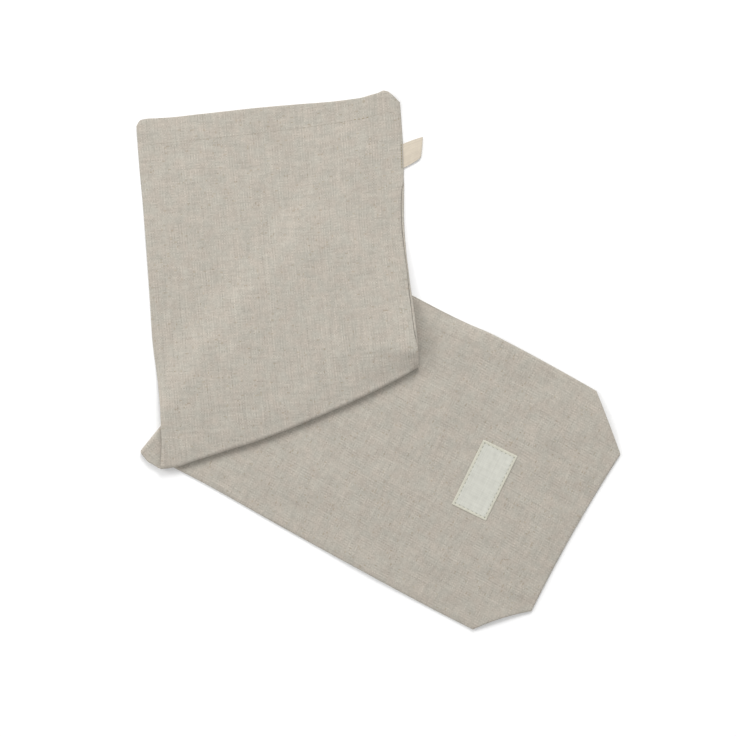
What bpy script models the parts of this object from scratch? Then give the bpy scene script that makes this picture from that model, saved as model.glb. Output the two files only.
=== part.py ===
"""Linen bread bag, laid down empty and folded twice into a flat Z.

Two linen panels of one outline are sewn together down both sides and across the
bottom, whose two corners are boxed.  The mouth is open.  A blank label is sewn on the
front near the bottom, and a ribbon tag stands out of the right side seam.

The bag is described flat first: "across" runs from its left side to its right, seen on
the front, and "along" runs from the mouth to the bottom.  Two slanted folds then lay it
in three runs over each other: the upper run with the mouth on top, the middle run under
it, and the lower run with the label on the floor, front side up again.

Metres, +Z up.  The origin is on the floor, under the middle of the folded bag.
"""
import math

import bpy
import numpy as np

MM = 0.001

# Cloth, and the room between its layers
CLOTH = 1.0 * MM
PANEL_ROOM = 0.4 * MM           # between the front and the back panel
ROOM_UNDER_MIDDLE = 0.8 * MM    # from the lower run to the middle run
ROOM_UNDER_UPPER = 0.8 * MM     # from the middle run to the upper run
SEAM_GAP = 0.3 * MM             # between pieces that are sewn to each other
BAG = 2 * CLOTH + PANEL_ROOM

# Heights of the bag's middle surface in its three runs
LOW = BAG / 2
MIDDLE = LOW + BAG + ROOM_UNDER_MIDDLE
HIGH = MIDDLE + BAG + ROOM_UNDER_UPPER

HALF_WIDTH = 119.5 * MM

# Side edges of the flat bag: a row for each station down from the mouth
SIDES = (
    # along, left, right (mm; left and right are distances from the centre line)
    (0, 118.0, 120.5),
    (40, 117.6, 120.0),
    (77, 118.0, 118.0),
    (115, 118.3, 114.9),
    (165, 118.3, 115.5),
    (200, 118.4, 117.8),
    (245, 118.2, 118.6),
    (285, 118.6, 119.0),
    (322, 122.4, 119.0),
    (346, 122.6, 119.0),
    (396, 119.4, 119.0),
    (500, 120.2, 118.8),
    (560, 121.0, 120.4),
    (600, 121.4, 122.6),
    (650, 121.6, 122.8),
    (700, 120.4, 121.8),
)

# Mouth edge of the flat bag: the left corner is worn round, the right one stands up
MOUTH = (
    # across, along (mm)
    (-118.3, 8.0),
    (-115.0, 2.6),
    (-109.0, 1.4),
    (-60.0, 1.0),
    (10.0, -0.2),
    (85.0, -1.2),
    (97.0, -3.4),
    (105.0, -4.9),
    (109.0, -6.0),
    (111.0, -4.4),
    (115.0, 0.6),
    (120.3, 6.6),
)

# Boxed corners: where the cut across each corner starts on the side and ends at the bottom
CORNERS = (
    # across, along at the side; across, along at the bottom (mm)
    (-120.4, 692.8, -79.0, 732.4),
    (121.9, 687.2, 80.5, 733.8),
)
BOTTOM_SAG = 2.4 * MM           # how far the middle of the bottom edge draws in

# Folds: where each one crosses the centre line, and its slant against a square fold
FOLDS = (
    # along (mm), slant (degrees)
    (283.8, -17.9),
    (375.5, 10.45),
)

# First fold: how far its edge stands out of a straight line, and how far the front
# panel stands up loose beside it
FIRST_FOLD = (
    # across, outward, loose (mm)
    (-122, -3.6, 0.3),
    (-94, -2.4, 0.5),
    (-66, 0.2, 0.9),
    (-35, 3.2, 1.3),
    (20, 4.4, 1.2),
    (81, 2.2, 1.2),
    (104, 0.0, 1.0),
    (119, -2.4, 0.6),
)
BOW_REACH = 60 * MM
LOOSE_BEFORE = 17 * MM          # from the fold line back to where the cloth stands highest
LOOSE_REACH = 14 * MM

# Drape of the upper run off the two runs under it
DRAPE_CLEAR = 4 * MM
DRAPE_RUN = 30 * MM

# Soft swells where the front panel stands off the back panel
SWELLS = (
    # across, along, half width, half length, height (mm)
    (-20, -8, 62, 34, 2.4),
    (-72, 70, 34, 62, 1.3),
    (62, 92, 30, 58, 1.5),
    (-18, 150, 40, 50, 1.1),
    (-70, 215, 36, 46, 1.4),
    (58, 190, 44, 40, 1.2),
    (70, 470, 34, 60, 1.2),
    (104, 556, 26, 42, 2.4),
    (-62, 520, 36, 70, 1.6),
    (34, 560, 48, 40, 1.0),
    (-76, 640, 28, 40, 1.2),
    (62, 668, 40, 26, 1.3),
    (-16, 702, 54, 24, 1.4),
)

# Places where both panels lift off the floor together, mostly stiff seams and corners
LIFTS = (
    # across, along, half width, half length, height (mm)
    (118, -4, 24, 20, 3.0),
    (-118, 4, 22, 18, 1.6),
    (116, 138, 16, 40, 1.4),
    (-118, 120, 15, 50, 1.0),
    (-104, 712, 26, 24, 2.0),
    (106, 708, 26, 26, 2.4),
    (121, 600, 15, 48, 1.2),
    (-121, 585, 15, 46, 1.0),
)

# Where the upper run stands up off the others, before it slopes down to the first fold
STANDS = (
    # across, along, half width, half length, height (mm)
    (128, 226, 50, 46, 7.6),
    (56, 236, 60, 60, 2.0),
    (-70, 270, 74, 60, 2.2),
)
STAND_EDGE = (
    # across, along (mm): the line where that slope starts
    (-122, 288),
    (-70, 262),
    (0, 240),
    (60, 227),
    (88, 226.5),
    (122, 230.5),
)
STAND_EASY = 0.95               # how steep the slope starts, against its mean
STAND_TURN = 0.02               # share of it that turns out of the fold

# Where the first fold itself stands off the lower run, as places in the upper run's plan
SPRINGS = (
    # across, along, half width, half length, height (mm)
    (112, 240, 66, 50, 0.9),
)
MOUND_FALL = 1.4                # how steeply a swell or a lift falls off
SLACK_START = 4 * MM            # from a fold or a covered place to the first slack
SLACK_FADE = 26 * MM            # from there to full slack
SEAM_FADE = 12 * MM             # from a seam to full slack

# Rolled side seams: one panel's edge lies this far in, and the other's curls towards it
SEAM_ROLL = 3.0 * MM
RIM_CURL = 0.5 * MM

# Cloth mesh: columns beside each side, columns between them, rows of each section of the
# bag, and rows above the bottom edge
SIDE_COLUMNS = (3 * MM, 9 * MM, 20 * MM)
INNER_COLUMNS = 12
ROWS = {
    "upper run": 21,
    "slope to the first fold": 3,
    "first fold": 8,
    "middle run": 5,
    "second fold": 8,
    "lower run": 17,
}
SLOPE_RUN = 24 * MM             # length of the slope's section
END_ROWS = (20 * MM, 9 * MM, 3 * MM, 0)
MOUTH_ROWS = 3                  # rows that share the mouth edge's shape, fading downwards

# Label and tag
LABEL_CENTRE = (3.4 * MM, 638 * MM)
LABEL_SIZE = (64.6 * MM, 34.0 * MM)
LABEL_TURN = math.radians(-2.3)
LABEL_THICKNESS = 0.8 * MM
LABEL_POINTS = (7, 5)           # mesh points across and along
TAG_ALONG = (42.8 * MM, 64.4 * MM)
TAG_REACH = 18.5 * MM
TAG_TURN = math.radians(19)
TAG_PLY = 1.0 * MM
TAG_ROOM = 0.4 * MM
TAG_TURN_POINTS = 7             # mesh points round the tag's folded end
TAG_ROWS = 4

# Place of the flat bag's mouth on the floor
MOUTH_CENTRE = (-100.32 * MM, 228.29 * MM)
BAG_TURN = math.radians(4.84)


def column(table, index, at):
    """Reads a table's column on a smooth curve through its rows; in and out in metres."""
    rows = np.array(table, dtype=float) * MM
    x, y = rows[:, 0], rows[:, index]
    slope = np.gradient(y, x)
    at = np.clip(at, x[0], x[-1])
    k = np.clip(np.searchsorted(x, at, side="right") - 1, 0, len(x) - 2)
    span = x[k + 1] - x[k]
    u = (at - x[k]) / span
    start = y[k] * (1 + 2 * u) + slope[k] * span * u
    end = y[k + 1] * (3 - 2 * u) - slope[k + 1] * span * (1 - u)
    return start * (1 - u) ** 2 + end * u ** 2


def mounds(table, across, along):
    """Sum of the soft mounds in a table."""
    total = np.zeros_like(across)
    for x, y, half_x, half_y, height in table:
        away = ((across / MM - x) / half_x) ** 2 + ((along / MM - y) / half_y) ** 2
        total += height * MM * np.exp(-MOUND_FALL * away)
    return total


def ease(value):
    """0 below 0, 1 above 1, and a soft rise between."""
    value = np.clip(value, 0.0, 1.0)
    return value * value * (3 - 2 * value)


class Fold:
    """A straight fold line on the flat bag, and how the cloth bends round it."""

    def __init__(self, row, radius):
        along, slant = row
        slant = math.radians(slant)
        self.along = along * MM
        self.slope = math.tan(slant)
        self.forward = (-math.sin(slant), math.cos(slant))
        self.radius = radius
        self.half = math.pi * radius / 2

    def distance(self, across, along):
        """How far a point lies past the fold line."""
        return across * self.forward[0] + (along - self.along) * self.forward[1]

    def shift(self, across, along, step):
        return across + step * self.forward[0], along + step * self.forward[1]

    def mirror(self, across, along):
        return self.shift(across, along, -2 * self.distance(across, along))

    def bend(self, across, along):
        """Plan place of a point that goes round the fold, and the angle it has turned."""
        past = self.distance(across, along)
        angle = np.clip((past + self.half) / self.radius, 0.0, math.pi)
        round_it = -self.half + self.radius * np.sin(angle)
        place = np.where(past < -self.half, past, np.where(past > self.half, -past, round_it))
        return (*self.shift(across, along, place - past), angle)


FIRST = Fold(FOLDS[0], (HIGH - MIDDLE) / 2)
SECOND = Fold(FOLDS[1], (MIDDLE - LOW) / 2)


def drape(across, along):
    """Height of the upper run's middle surface over a place, in the upper run's own plan."""
    in_middle = FIRST.mirror(across, along)
    in_lower = SECOND.mirror(*in_middle)
    past_second = SECOND.distance(*in_middle)
    off_middle = np.maximum(past_second, in_middle[0] - HALF_WIDTH)
    off_lower = np.maximum(past_second, in_lower[0] - HALF_WIDTH)
    over_lower = BAG + ROOM_UNDER_UPPER
    over_middle = HIGH - LOW - over_lower
    off_fold = np.maximum(-FIRST.distance(across, along) - FIRST.half, 0)
    past_edge = np.maximum(along - column(STAND_EDGE, 1, across), 0)
    to_edge = past_edge / (off_fold + past_edge + 0.01 * MM)
    slope = 1 - to_edge * (STAND_EASY + (1 - STAND_EASY) * to_edge)
    slope *= (1 + STAND_TURN) * slope / (slope + STAND_TURN)
    return (LOW + over_lower * (1 - ease((off_lower - DRAPE_CLEAR) / DRAPE_RUN))
            + over_middle * (1 - ease((off_middle - DRAPE_CLEAR) / DRAPE_RUN))
            + mounds(LIFTS, across, along)
            + mounds(STANDS, across, along) * slope)


def bow(across, past_first, past_second):
    """Outward move of the cloth beside the first fold, which isn't quite straight."""
    before = 1 - ease((-past_first - FIRST.half) / BOW_REACH)
    room = np.clip(past_first - past_second - 2 * SECOND.half, MM, BOW_REACH)
    after = 1 - ease((past_first - FIRST.half) / room)
    return column(FIRST_FOLD, 1, across) * np.where(past_first < 0, before, after)


def fold_bag(across, along):
    """Points of the bag's middle surface on the folded bag, and normals of its front side."""
    past_first = FIRST.distance(across, along)
    past_second = SECOND.distance(across, along)
    *plan, first_angle = FIRST.bend(across, along)
    *under, second_angle = SECOND.bend(across, along)
    upper = past_first < -FIRST.half
    after_first = past_first > FIRST.half
    plan = np.where(after_first, FIRST.mirror(*under), plan)
    plan = np.stack(FIRST.shift(*plan, bow(across, past_first, past_second)))

    level = np.where(upper, drape(*plan), HIGH - FIRST.radius * (1 - np.cos(first_angle)))
    below = MIDDLE - SECOND.radius * (1 - np.cos(second_angle)) + mounds(LIFTS, across, along)
    level = np.where(after_first, below, level)
    level += np.where(past_second < -SECOND.half, mounds(SPRINGS, *plan), 0)

    step = 0.1 * MM
    slope = [(drape(plan[0] + i, plan[1] + j) - drape(plan[0] - i, plan[1] - j)) / (2 * step)
             for i, j in ((step, 0), (0, step))]
    sloping = np.stack((-slope[0], -slope[1], np.ones_like(slope[0])))
    sloping /= np.linalg.norm(sloping, axis=0)
    tilt = np.sin(first_angle)
    round_first = np.stack((tilt * FIRST.forward[0], tilt * FIRST.forward[1],
                            np.cos(first_angle)))
    tilt = -np.sin(second_angle)
    turned = FIRST.mirror(SECOND.forward[0], SECOND.forward[1] + FIRST.along)
    round_second = np.stack((tilt * turned[0], tilt * (turned[1] - FIRST.along),
                             -np.cos(second_angle)))
    normal = np.where(upper, sloping, np.where(after_first, round_second, round_first))
    return to_floor(plan, level), turn_to_floor(normal)


def turn_to_floor(vector):
    """Turns a direction from the flat bag's across, along and up to X, Y and Z."""
    c, s = math.cos(BAG_TURN), math.sin(BAG_TURN)
    return np.stack((vector[0] * c + vector[1] * s, vector[0] * s - vector[1] * c, vector[2]),
                    axis=-1)


def to_floor(plan, level):
    place = turn_to_floor(np.stack((plan[0], plan[1], level)))
    place[..., 0] += MOUTH_CENTRE[0]
    place[..., 1] += MOUTH_CENTRE[1]
    return place


def slack(across, along):
    """How far the front panel stands off the back one, above the room between them."""
    past_first = FIRST.distance(across, along)
    past_second = SECOND.distance(across, along)
    under_upper = FIRST.mirror(*SECOND.mirror(across, along))
    uncovered = np.maximum(FIRST.distance(*under_upper), under_upper[0] - HALF_WIDTH)
    free = np.where(past_first < 0, -past_first - FIRST.half,
                    np.where(past_second < 0, 0, uncovered))
    swell = mounds(SWELLS, across, along) * ease((free - SLACK_START) / SLACK_FADE)
    from_top = (past_first + LOOSE_BEFORE) / LOOSE_REACH
    round_fold = 1 - ease((past_first + FIRST.half) / (2 * FIRST.half))
    loose = column(FIRST_FOLD, 2, across) * np.exp(-from_top ** 2) * round_fold
    from_seam = HALF_WIDTH - np.abs(across)
    return (swell + loose) * ease(from_seam / SEAM_FADE)


def row_lines():
    """Rows of the cloth mesh, each a line along = start + slope * across on the flat bag."""
    left, right = CORNERS
    corner_slope = (right[1] - left[1]) / (right[0] - left[0])
    corner_start = (left[1] - corner_slope * left[0]) * MM
    slope_start = FIRST.along - FIRST.half / FIRST.forward[1] - SLOPE_RUN
    stops = [(0.0, 0.0), (slope_start, FIRST.slope)]
    for fold in (FIRST, SECOND):
        reach = fold.half / fold.forward[1]
        stops += [(fold.along - reach, fold.slope), (fold.along + reach, fold.slope)]
    stops.append((corner_start, corner_slope))
    lines = [stops[0]]
    for start, end, count in zip(stops, stops[1:], ROWS.values()):
        for i in range(1, count + 1):
            lines.append(tuple(a + (b - a) * i / count for a, b in zip(start, end)))
    return lines


def spread(left, right, left_inset, right_inset):
    """Places of the mesh's columns between two sides, closer together near the sides."""
    inner = np.linspace(left + SIDE_COLUMNS[-1], right - SIDE_COLUMNS[-1], INNER_COLUMNS + 1)
    near_left = (left_inset,) + SIDE_COLUMNS[1 if left_inset else 0:-1]
    near_right = (right_inset,) + SIDE_COLUMNS[1 if right_inset else 0:-1]
    return np.array([left + c for c in near_left] + list(inner)
                    + [right - c for c in reversed(near_right)])


def flat_grid(left_inset, right_inset):
    """Across and along of every mesh point of a panel, on the flat bag."""
    across, along = [], []
    for start, slope in row_lines():
        left = -column(SIDES, 1, start - slope * HALF_WIDTH)
        right = column(SIDES, 2, start + slope * HALF_WIDTH)
        places = spread(left, right, left_inset, right_inset)
        across.append(places)
        along.append(start + slope * places)
    depth = (CORNERS[0][3] - CORNERS[0][1]) * MM
    for inset in END_ROWS:
        share = 1 - inset / depth
        (left, left_along), (right, right_along) = [
            ((a + (c - a) * share) * MM, (b + (d - b) * share) * MM) for a, b, c, d in CORNERS]
        places = spread(left, right, left_inset, right_inset)
        over = (places - left) / (right - left)
        sag = BOTTOM_SAG * share * 4 * over * (1 - over)
        across.append(places)
        along.append(left_along + (right_along - left_along) * over - sag)
    across, along = np.array(across), np.array(along)
    for row in range(MOUTH_ROWS):
        along[row] += column(MOUTH, 1, across[row]) * (1 - row / MOUTH_ROWS)
    return across, along


def solid_from_grid(name, front, back, material):
    """Closed body between two grids of points, joined round their rim."""
    rows, columns = front.shape[:2]
    points = np.concatenate((front.reshape(-1, 3), back.reshape(-1, 3)))

    def at(row, place, side):
        return (side * rows + row) * columns + place

    faces = []
    for r in range(rows - 1):
        for c in range(columns - 1):
            for corners in (((r, c), (r + 1, c), (r + 1, c + 1)),
                            ((r, c), (r + 1, c + 1), (r, c + 1))):
                faces.append([at(i, j, 0) for i, j in corners])
                faces.append([at(i, j, 1) for i, j in reversed(corners)])
    rim = ([(0, c) for c in range(columns)] + [(r, columns - 1) for r in range(1, rows)]
           + [(rows - 1, c) for c in range(columns - 2, -1, -1)]
           + [(r, 0) for r in range(rows - 2, 0, -1)])
    for here, after in zip(rim, rim[1:] + rim[:1]):
        faces.append([at(*here, 0), at(*after, 0), at(*after, 1), at(*here, 1)])

    mesh = bpy.data.meshes.new(name)
    mesh.from_pydata([tuple(p) for p in points], [], faces)
    mesh.shade_smooth()
    mesh.set_sharp_from_angle(angle=math.radians(50))
    mesh.materials.append(material)
    body = bpy.data.objects.new(name, mesh)
    bpy.context.scene.collection.objects.link(body)


def cloth_body(name, across, along, offset, thickness, material):
    """A sheet of cloth at an offset from the bag's middle surface."""
    place, normal = fold_bag(across, along)
    front = place + normal * (offset + thickness / 2)[..., None]
    back = place + normal * (offset - thickness / 2)[..., None]
    solid_from_grid(name, front, back, material)


def front_offset(across, along):
    """Middle of the front panel's cloth, out from the bag's middle surface."""
    return (CLOTH + PANEL_ROOM) / 2 + slack(across, along)


def front_panel(material):
    """Curls down over the left side, and stops short of the right side."""
    across, along = flat_grid(0, SEAM_ROLL + SEAM_GAP)
    offset = front_offset(across, along)
    offset[:, 0] -= RIM_CURL
    cloth_body("front_panel", across, along, offset, CLOTH, material)


def back_panel(material):
    """Curls up over the right side, and stops short of the left side."""
    across, along = flat_grid(SEAM_ROLL + SEAM_GAP, 0)
    offset = np.full_like(across, -(CLOTH + PANEL_ROOM) / 2)
    offset[:, -1] += RIM_CURL
    cloth_body("back_panel", across, along, offset, CLOTH, material)


def label(material):
    """Blank patch that lies on the front panel's lower run."""
    u, v = np.meshgrid(np.linspace(-0.5, 0.5, LABEL_POINTS[0]) * LABEL_SIZE[0],
                       np.linspace(-0.5, 0.5, LABEL_POINTS[1]) * LABEL_SIZE[1])
    c, s = math.cos(LABEL_TURN), math.sin(LABEL_TURN)
    across = LABEL_CENTRE[0] + u * c - v * s
    along = LABEL_CENTRE[1] + u * s + v * c
    offset = front_offset(across, along) + CLOTH / 2 + SEAM_GAP + LABEL_THICKNESS / 2
    cloth_body("label", across, along, offset, LABEL_THICKNESS, material)


def side_tag(material):
    """Ribbon folded in two, whose ends are caught in the right side seam."""
    bend = (TAG_PLY + TAG_ROOM) / 2
    run = TAG_REACH - bend - TAG_PLY / 2
    turn = np.linspace(0, math.pi, TAG_TURN_POINTS)
    reach = np.concatenate(([0, run / 2], run + bend * np.sin(turn), [run / 2, 0]))
    lift = np.concatenate(([bend, bend], bend * np.cos(turn), [-bend, -bend]))
    outward = np.concatenate(([0, 0], np.sin(turn), [0, 0]))
    upward = np.concatenate(([1, 1], np.cos(turn), [-1, -1]))
    starts = np.linspace(*TAG_ALONG, TAG_ROWS)
    root = column(SIDES, 2, starts) + SEAM_GAP

    def layer(side):
        out = (reach + side * TAG_PLY / 2 * outward)[:, None]
        level = LOW + (lift + side * TAG_PLY / 2 * upward)[:, None]
        across = root + out * math.cos(TAG_TURN)
        along = starts - out * math.sin(TAG_TURN)
        return to_floor((across, along), np.broadcast_to(level, across.shape))

    solid_from_grid("side_tag", layer(-1), layer(1), material)


def finish(name, colour, roughness):
    """A cloth finish: Principled material of a given sRGB colour."""
    material = bpy.data.materials.new(name)
    material.use_nodes = True
    shader = material.node_tree.nodes["Principled BSDF"]
    srgb = [int(colour[i:i + 2], 16) / 255 for i in (0, 2, 4)]
    linear = [v / 12.92 if v <= 0.04045 else ((v + 0.055) / 1.055) ** 2.4 for v in srgb]
    shader.inputs["Base Color"].default_value = (*linear, 1.0)
    shader.inputs["Roughness"].default_value = roughness
    shader.inputs["Metallic"].default_value = 0.0
    return material


def main():
    for thing in list(bpy.data.objects):
        bpy.data.objects.remove(thing, do_unlink=True)
    front_panel(finish("linen front", "BDB6AA", 0.95))
    back_panel(finish("linen back", "B6AEA2", 0.95))
    label(finish("woven cotton label", "D8D9CC", 0.85))
    side_tag(finish("cotton ribbon", "D8CBB2", 0.85))


main()
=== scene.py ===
"""Linen bread bag, laid down empty and folded twice: its cloth, label, tag, light and camera.

Every place on the bag is written as on the flat bag: "across" from its left side to its
right, seen on the front, and "along" from its mouth to its bottom.  lay_bag() then takes
such a place round the two slanted folds to where it lies in the folded bag.

Metres, +Z up, on the floor at Z = 0.
"""
import math

import bpy
import numpy as np
from bpy.props import (FloatProperty, FloatVectorProperty, IntProperty, PointerProperty)
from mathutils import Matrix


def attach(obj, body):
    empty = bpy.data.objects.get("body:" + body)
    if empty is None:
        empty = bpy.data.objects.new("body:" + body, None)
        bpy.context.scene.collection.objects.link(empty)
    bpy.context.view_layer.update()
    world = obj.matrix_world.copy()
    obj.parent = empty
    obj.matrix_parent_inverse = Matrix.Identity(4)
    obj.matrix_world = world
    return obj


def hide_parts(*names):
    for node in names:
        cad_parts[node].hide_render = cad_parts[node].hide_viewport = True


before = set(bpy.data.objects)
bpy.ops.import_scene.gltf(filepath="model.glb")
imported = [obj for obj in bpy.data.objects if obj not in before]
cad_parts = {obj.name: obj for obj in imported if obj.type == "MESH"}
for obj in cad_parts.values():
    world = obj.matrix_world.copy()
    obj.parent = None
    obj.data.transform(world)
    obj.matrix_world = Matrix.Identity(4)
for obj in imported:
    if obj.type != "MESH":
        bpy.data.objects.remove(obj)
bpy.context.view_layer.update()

bl_info = {
    "name": "Folded linen bread bag",
    "version": (1, 0, 0),
    "blender": (4, 5, 0),
    "location": "3D View > Sidebar > Bread bag",
    "description": "Sews, folds and finishes a linen bread bag",
    "category": "Add Mesh",
}

MM = 0.001
BODY = "root"
CLOTH_MAP = "cloth"             # UV map that holds across and along on the flat bag, in metres

# ---------------------------------------------------------------- sizes of the folded bag

# Half the thickness of the closed bag, and heights of its middle surface in its three runs
HALF_BAG = 1.2 * MM
LOW, MIDDLE, HIGH = 1.2 * MM, 4.4 * MM, 7.6 * MM
PANEL_UP = HALF_BAG - 0.3 * MM  # from that middle surface to the middle of a panel's cloth
HALF_WIDTH = 119.5 * MM         # usual half width of the bag, where its own edge isn't needed

# Side edges of the flat bag: a row for each station down from the mouth
SIDES = (
    # along, left, right (mm; left and right are distances from the centre line)
    (0, 118.0, 120.5),
    (40, 118.5, 120.0),
    (77, 118.2, 118.0),
    (115, 118.4, 114.9),
    (165, 119.2, 115.5),
    (200, 119.9, 117.8),
    (245, 117.9, 118.6),
    (285, 117.8, 119.0),
    (297, 117.7, 119.0),
    (305, 118.2, 119.0),
    (312, 118.8, 119.0),
    (318, 119.6, 119.0),
    (323, 120.9, 119.0),
    (327, 122.5, 119.0),
    (334, 123.9, 119.0),
    (346, 122.7, 119.0),
    (396, 120.0, 119.0),
    (500, 120.8, 118.6),
    (560, 121.2, 120.4),
    (578, 121.2, 122.2),
    (600, 121.3, 122.8),
    (650, 121.0, 122.8),
    (700, 119.8, 121.8),
)

# Mouth edge of the flat bag: the left corner is worn round, the right one stands up
MOUTH = (
    # across, along (mm)
    (-118.3, 7.4),
    (-115.0, 2.2),
    (-111.0, 1.3),
    (-100.0, 1.4),
    (-88.0, 1.5),
    (-60.0, 0.9),
    (0.0, -0.4),
    (30.0, -0.5),
    (60.0, -0.4),
    (78.0, -1.1),
    (88.0, -1.7),
    (97.0, -3.4),
    (105.0, -4.9),
    (109.0, -6.2),
    (111.0, -5.1),
    (115.0, -1.2),
    (120.3, 5.2),
)
MOUTH_FADE = 40 * MM            # how far down the mouth edge's shape is still felt

# Boxed corners: where the cut across each corner starts on the side and ends at the bottom
CORNERS = (
    # across, along at the side; across, along at the bottom; how hollow the cut is (mm)
    (-120.0, 692.6, -80.2, 731.6, 2.0),
    (122.0, 688.2, 82.2, 734.7, -0.2),
)
BOTTOM_SAG = 2.4 * MM           # how hollow the bottom edge is, midway

# Folds: where each one crosses the centre line, and its slant against a square fold
FOLDS = (
    # along (mm), slant (degrees)
    (283.8, -17.9),
    (375.5, 10.45),
)

# First fold: how far its edge stands out of a straight line, and how far the front
# panel stands up loose beside it
FIRST_FOLD = (
    # across, outward, loose (mm)
    (-123, -8.0, 0.3),
    (-114, -5.2, 0.3),
    (-106, -3.2, 0.4),
    (-94, -2.2, 0.5),
    (-66, 0.2, 0.9),
    (-35, 3.2, 1.3),
    (20, 4.4, 1.2),
    (81, 2.2, 1.2),
    (104, 0.0, 1.0),
    (119, -2.4, 0.6),
)
BOW_REACH = 60 * MM             # how far from the fold the cloth still moves with its edge
LOOSE_BEFORE = 17 * MM          # from the fold to where the loose cloth stands highest
LOOSE_REACH = 14 * MM           # from there to where most of that is gone
DRAPE_CLEAR = 4 * MM            # how far past a lower run's edge the upper one stays up
DRAPE_RUN = 37 * MM             # how far it then takes to come down

# Soft swells where the front panel stands off the back panel
SWELLS = (
    # across, along, half width, half length, height (mm)
    (-20, -8, 62, 34, 2.4),
    (-72, 70, 34, 62, 1.3),
    (62, 92, 30, 58, 1.5),
    (-18, 150, 40, 50, 1.1),
    (-70, 215, 36, 46, 1.4),
    (58, 190, 44, 40, 1.2),
    (70, 470, 34, 60, 1.2),
    (104, 556, 26, 42, 2.4),
    (-62, 520, 36, 70, 1.6),
    (34, 560, 48, 40, 1.0),
    (-76, 640, 28, 40, 1.2),
    (62, 668, 40, 26, 1.3),
    (-16, 702, 54, 24, 1.4),
)

# Places where both panels lift off the floor together, mostly stiff seams and corners
LIFTS = (
    # across, along, half width, half length, height (mm)
    (118, -4, 24, 20, 3.0),
    (-118, 4, 22, 18, 1.6),
    (116, 138, 16, 40, 1.4),
    (-118, 120, 15, 50, 1.0),
    (-104, 712, 26, 24, 2.0),
    (106, 708, 26, 26, 2.4),
    (121, 600, 15, 48, 1.2),
    (-121, 585, 15, 46, 1.0),
)

# Where the upper run stands up off the others, before it slopes down to the first fold
STANDS = (
    # across, along, half width, half length, height (mm)
    (128, 226, 50, 46, 7.6),
    (56, 236, 60, 60, 2.0),
    (-70, 270, 74, 60, 2.2),
    (-126, 294, 32, 38, 1.7),
)
STAND_EDGE = (
    # across, along (mm): the line where that slope starts
    (-122, 288),
    (-70, 262),
    (0, 240),
    (60, 227),
    (88, 226.5),
    (122, 230.5),
)
STAND_EASY = 0.95               # how steep the slope starts, against its mean
STAND_TURN = 0.02               # share of it that turns out of the fold

# Where the first fold itself stands off the lower run, as places in the upper run's plan
SPRINGS = (
    # across, along, half width, half length, height (mm)
    (112, 240, 66, 50, 0.3),
)
MOUND_FALL = 1.4                # how steeply every mound falls off
SLACK_START = 4 * MM            # how far from a fold or a covered place the slack begins
SLACK_FADE = 26 * MM            # how far it then takes to be full
SEAM_FADE = 12 * MM             # how far in from a side seam it is full

MOUTH_CENTRE = (-100.32 * MM, 228.29 * MM)      # X and Y of the middle of the mouth
BAG_TURN = math.radians(4.84)

# ---------------------------------------------------------------- details of the cloth

# Where the side seams lie round the rolled edge: 0 is the outermost line of the edge, and
# more is up on the front, so that the back panel's cloth shows there beside the seam
SEAMS = (
    # along, left, right (mm)
    (0, -0.9, -0.5),
    (56, -0.9, -0.6),
    (66, -0.9, -0.5),
    (75, -0.8, 0.4),
    (82, -0.8, 2.0),
    (90, -0.8, 2.8),
    (100, -0.9, 2.8),
    (136, -0.9, 2.0),
    (160, -0.9, 1.6),
    (183, -0.9, 2.5),
    (203, -0.8, 2.9),
    (213, -0.8, 2.5),
    (222, -0.8, 1.5),
    (230, -0.7, 0.3),
    (285, -0.4, 0.2),
    (400, -0.6, 0.4),
    (490, -0.8, 1.0),
    (515, -0.8, 1.3),
    (535, -0.85, 1.1),
    (560, -0.9, 0.4),
    (610, -0.9, 0.0),
    (700, -0.7, -0.3),
    (732, 0.0, 0.0),
)
ROLL_WIDTH = 2.2 * MM           # how wide the cloth rolls over a seamed edge
SEAM_LIP = 0.7 * MM             # radius of the cloth's turn into the seam
SEAM_TUCK = 0.4 * MM            # how far it goes on into the seam
ROLL_END = 10 * MM              # length round the edge that has its own mesh columns
ROLL_STEPS = (0, 0.2, 0.45, 0.75, 1.1, 1.6, 2.3, 3.2, 4.4, 6.0, 7.9, 10.0)
ALLOWANCE = 0.3 * MM            # how far the seam allowances inside lift the front panel
ALLOWANCE_AT = 5.5 * MM         # in from the edge, where they lift it most
ALLOWANCE_REACH = 4.0 * MM      # how far to each side that is felt
SEAM_SHARE = 0.52               # of its thickness, a panel's middle lies off the seam line

# Hem at the mouth: how far down its stitches run
HEM_LINE = (
    # across, depth (mm)
    (-122, 24.0),
    (-105, 23.6),
    (30, 21.0),
    (85, 17.7),
    (122, 15.6),
)
HEM_ROUND = 0.36 * MM           # radius of the turned edge
HEM_SPARE = 1.6 * MM            # of turned-in cloth past the stitches
HEM_SHARES = (0.08, 0.2, 0.4, 0.6, 0.8, 1.0)    # mesh rows down the turned-in cloth
HEM_INSET = 4 * MM              # how far in from the side seams it stays
HEM_ENDS = (-113 * MM, 114 * MM)    # across: where its stitches start and end

# Soft ridges and troughs of the front panel, which fade out towards their ends
CREASE_FADE = 0.3               # share of a crease that each end takes to fade
CREASES = (
    # from across, along to across, along; height, reach before it, reach after it (mm)
    (122, 229.5, 80, 226, 0.4, 14, 3),
    (-60, 292, -116, 308, 0.4, 9, 4),
    (100, 30, 60, 118, 0.35, 12, 12),
    (-104, 60, -84, 150, -0.35, 10, 10),
    (112, 430, 92, 560, -0.4, 12, 10),
    (-20, 600, -66, 715, 0.4, 14, 10),
    (96, 660, 40, 712, 0.35, 9, 12),
)

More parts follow.
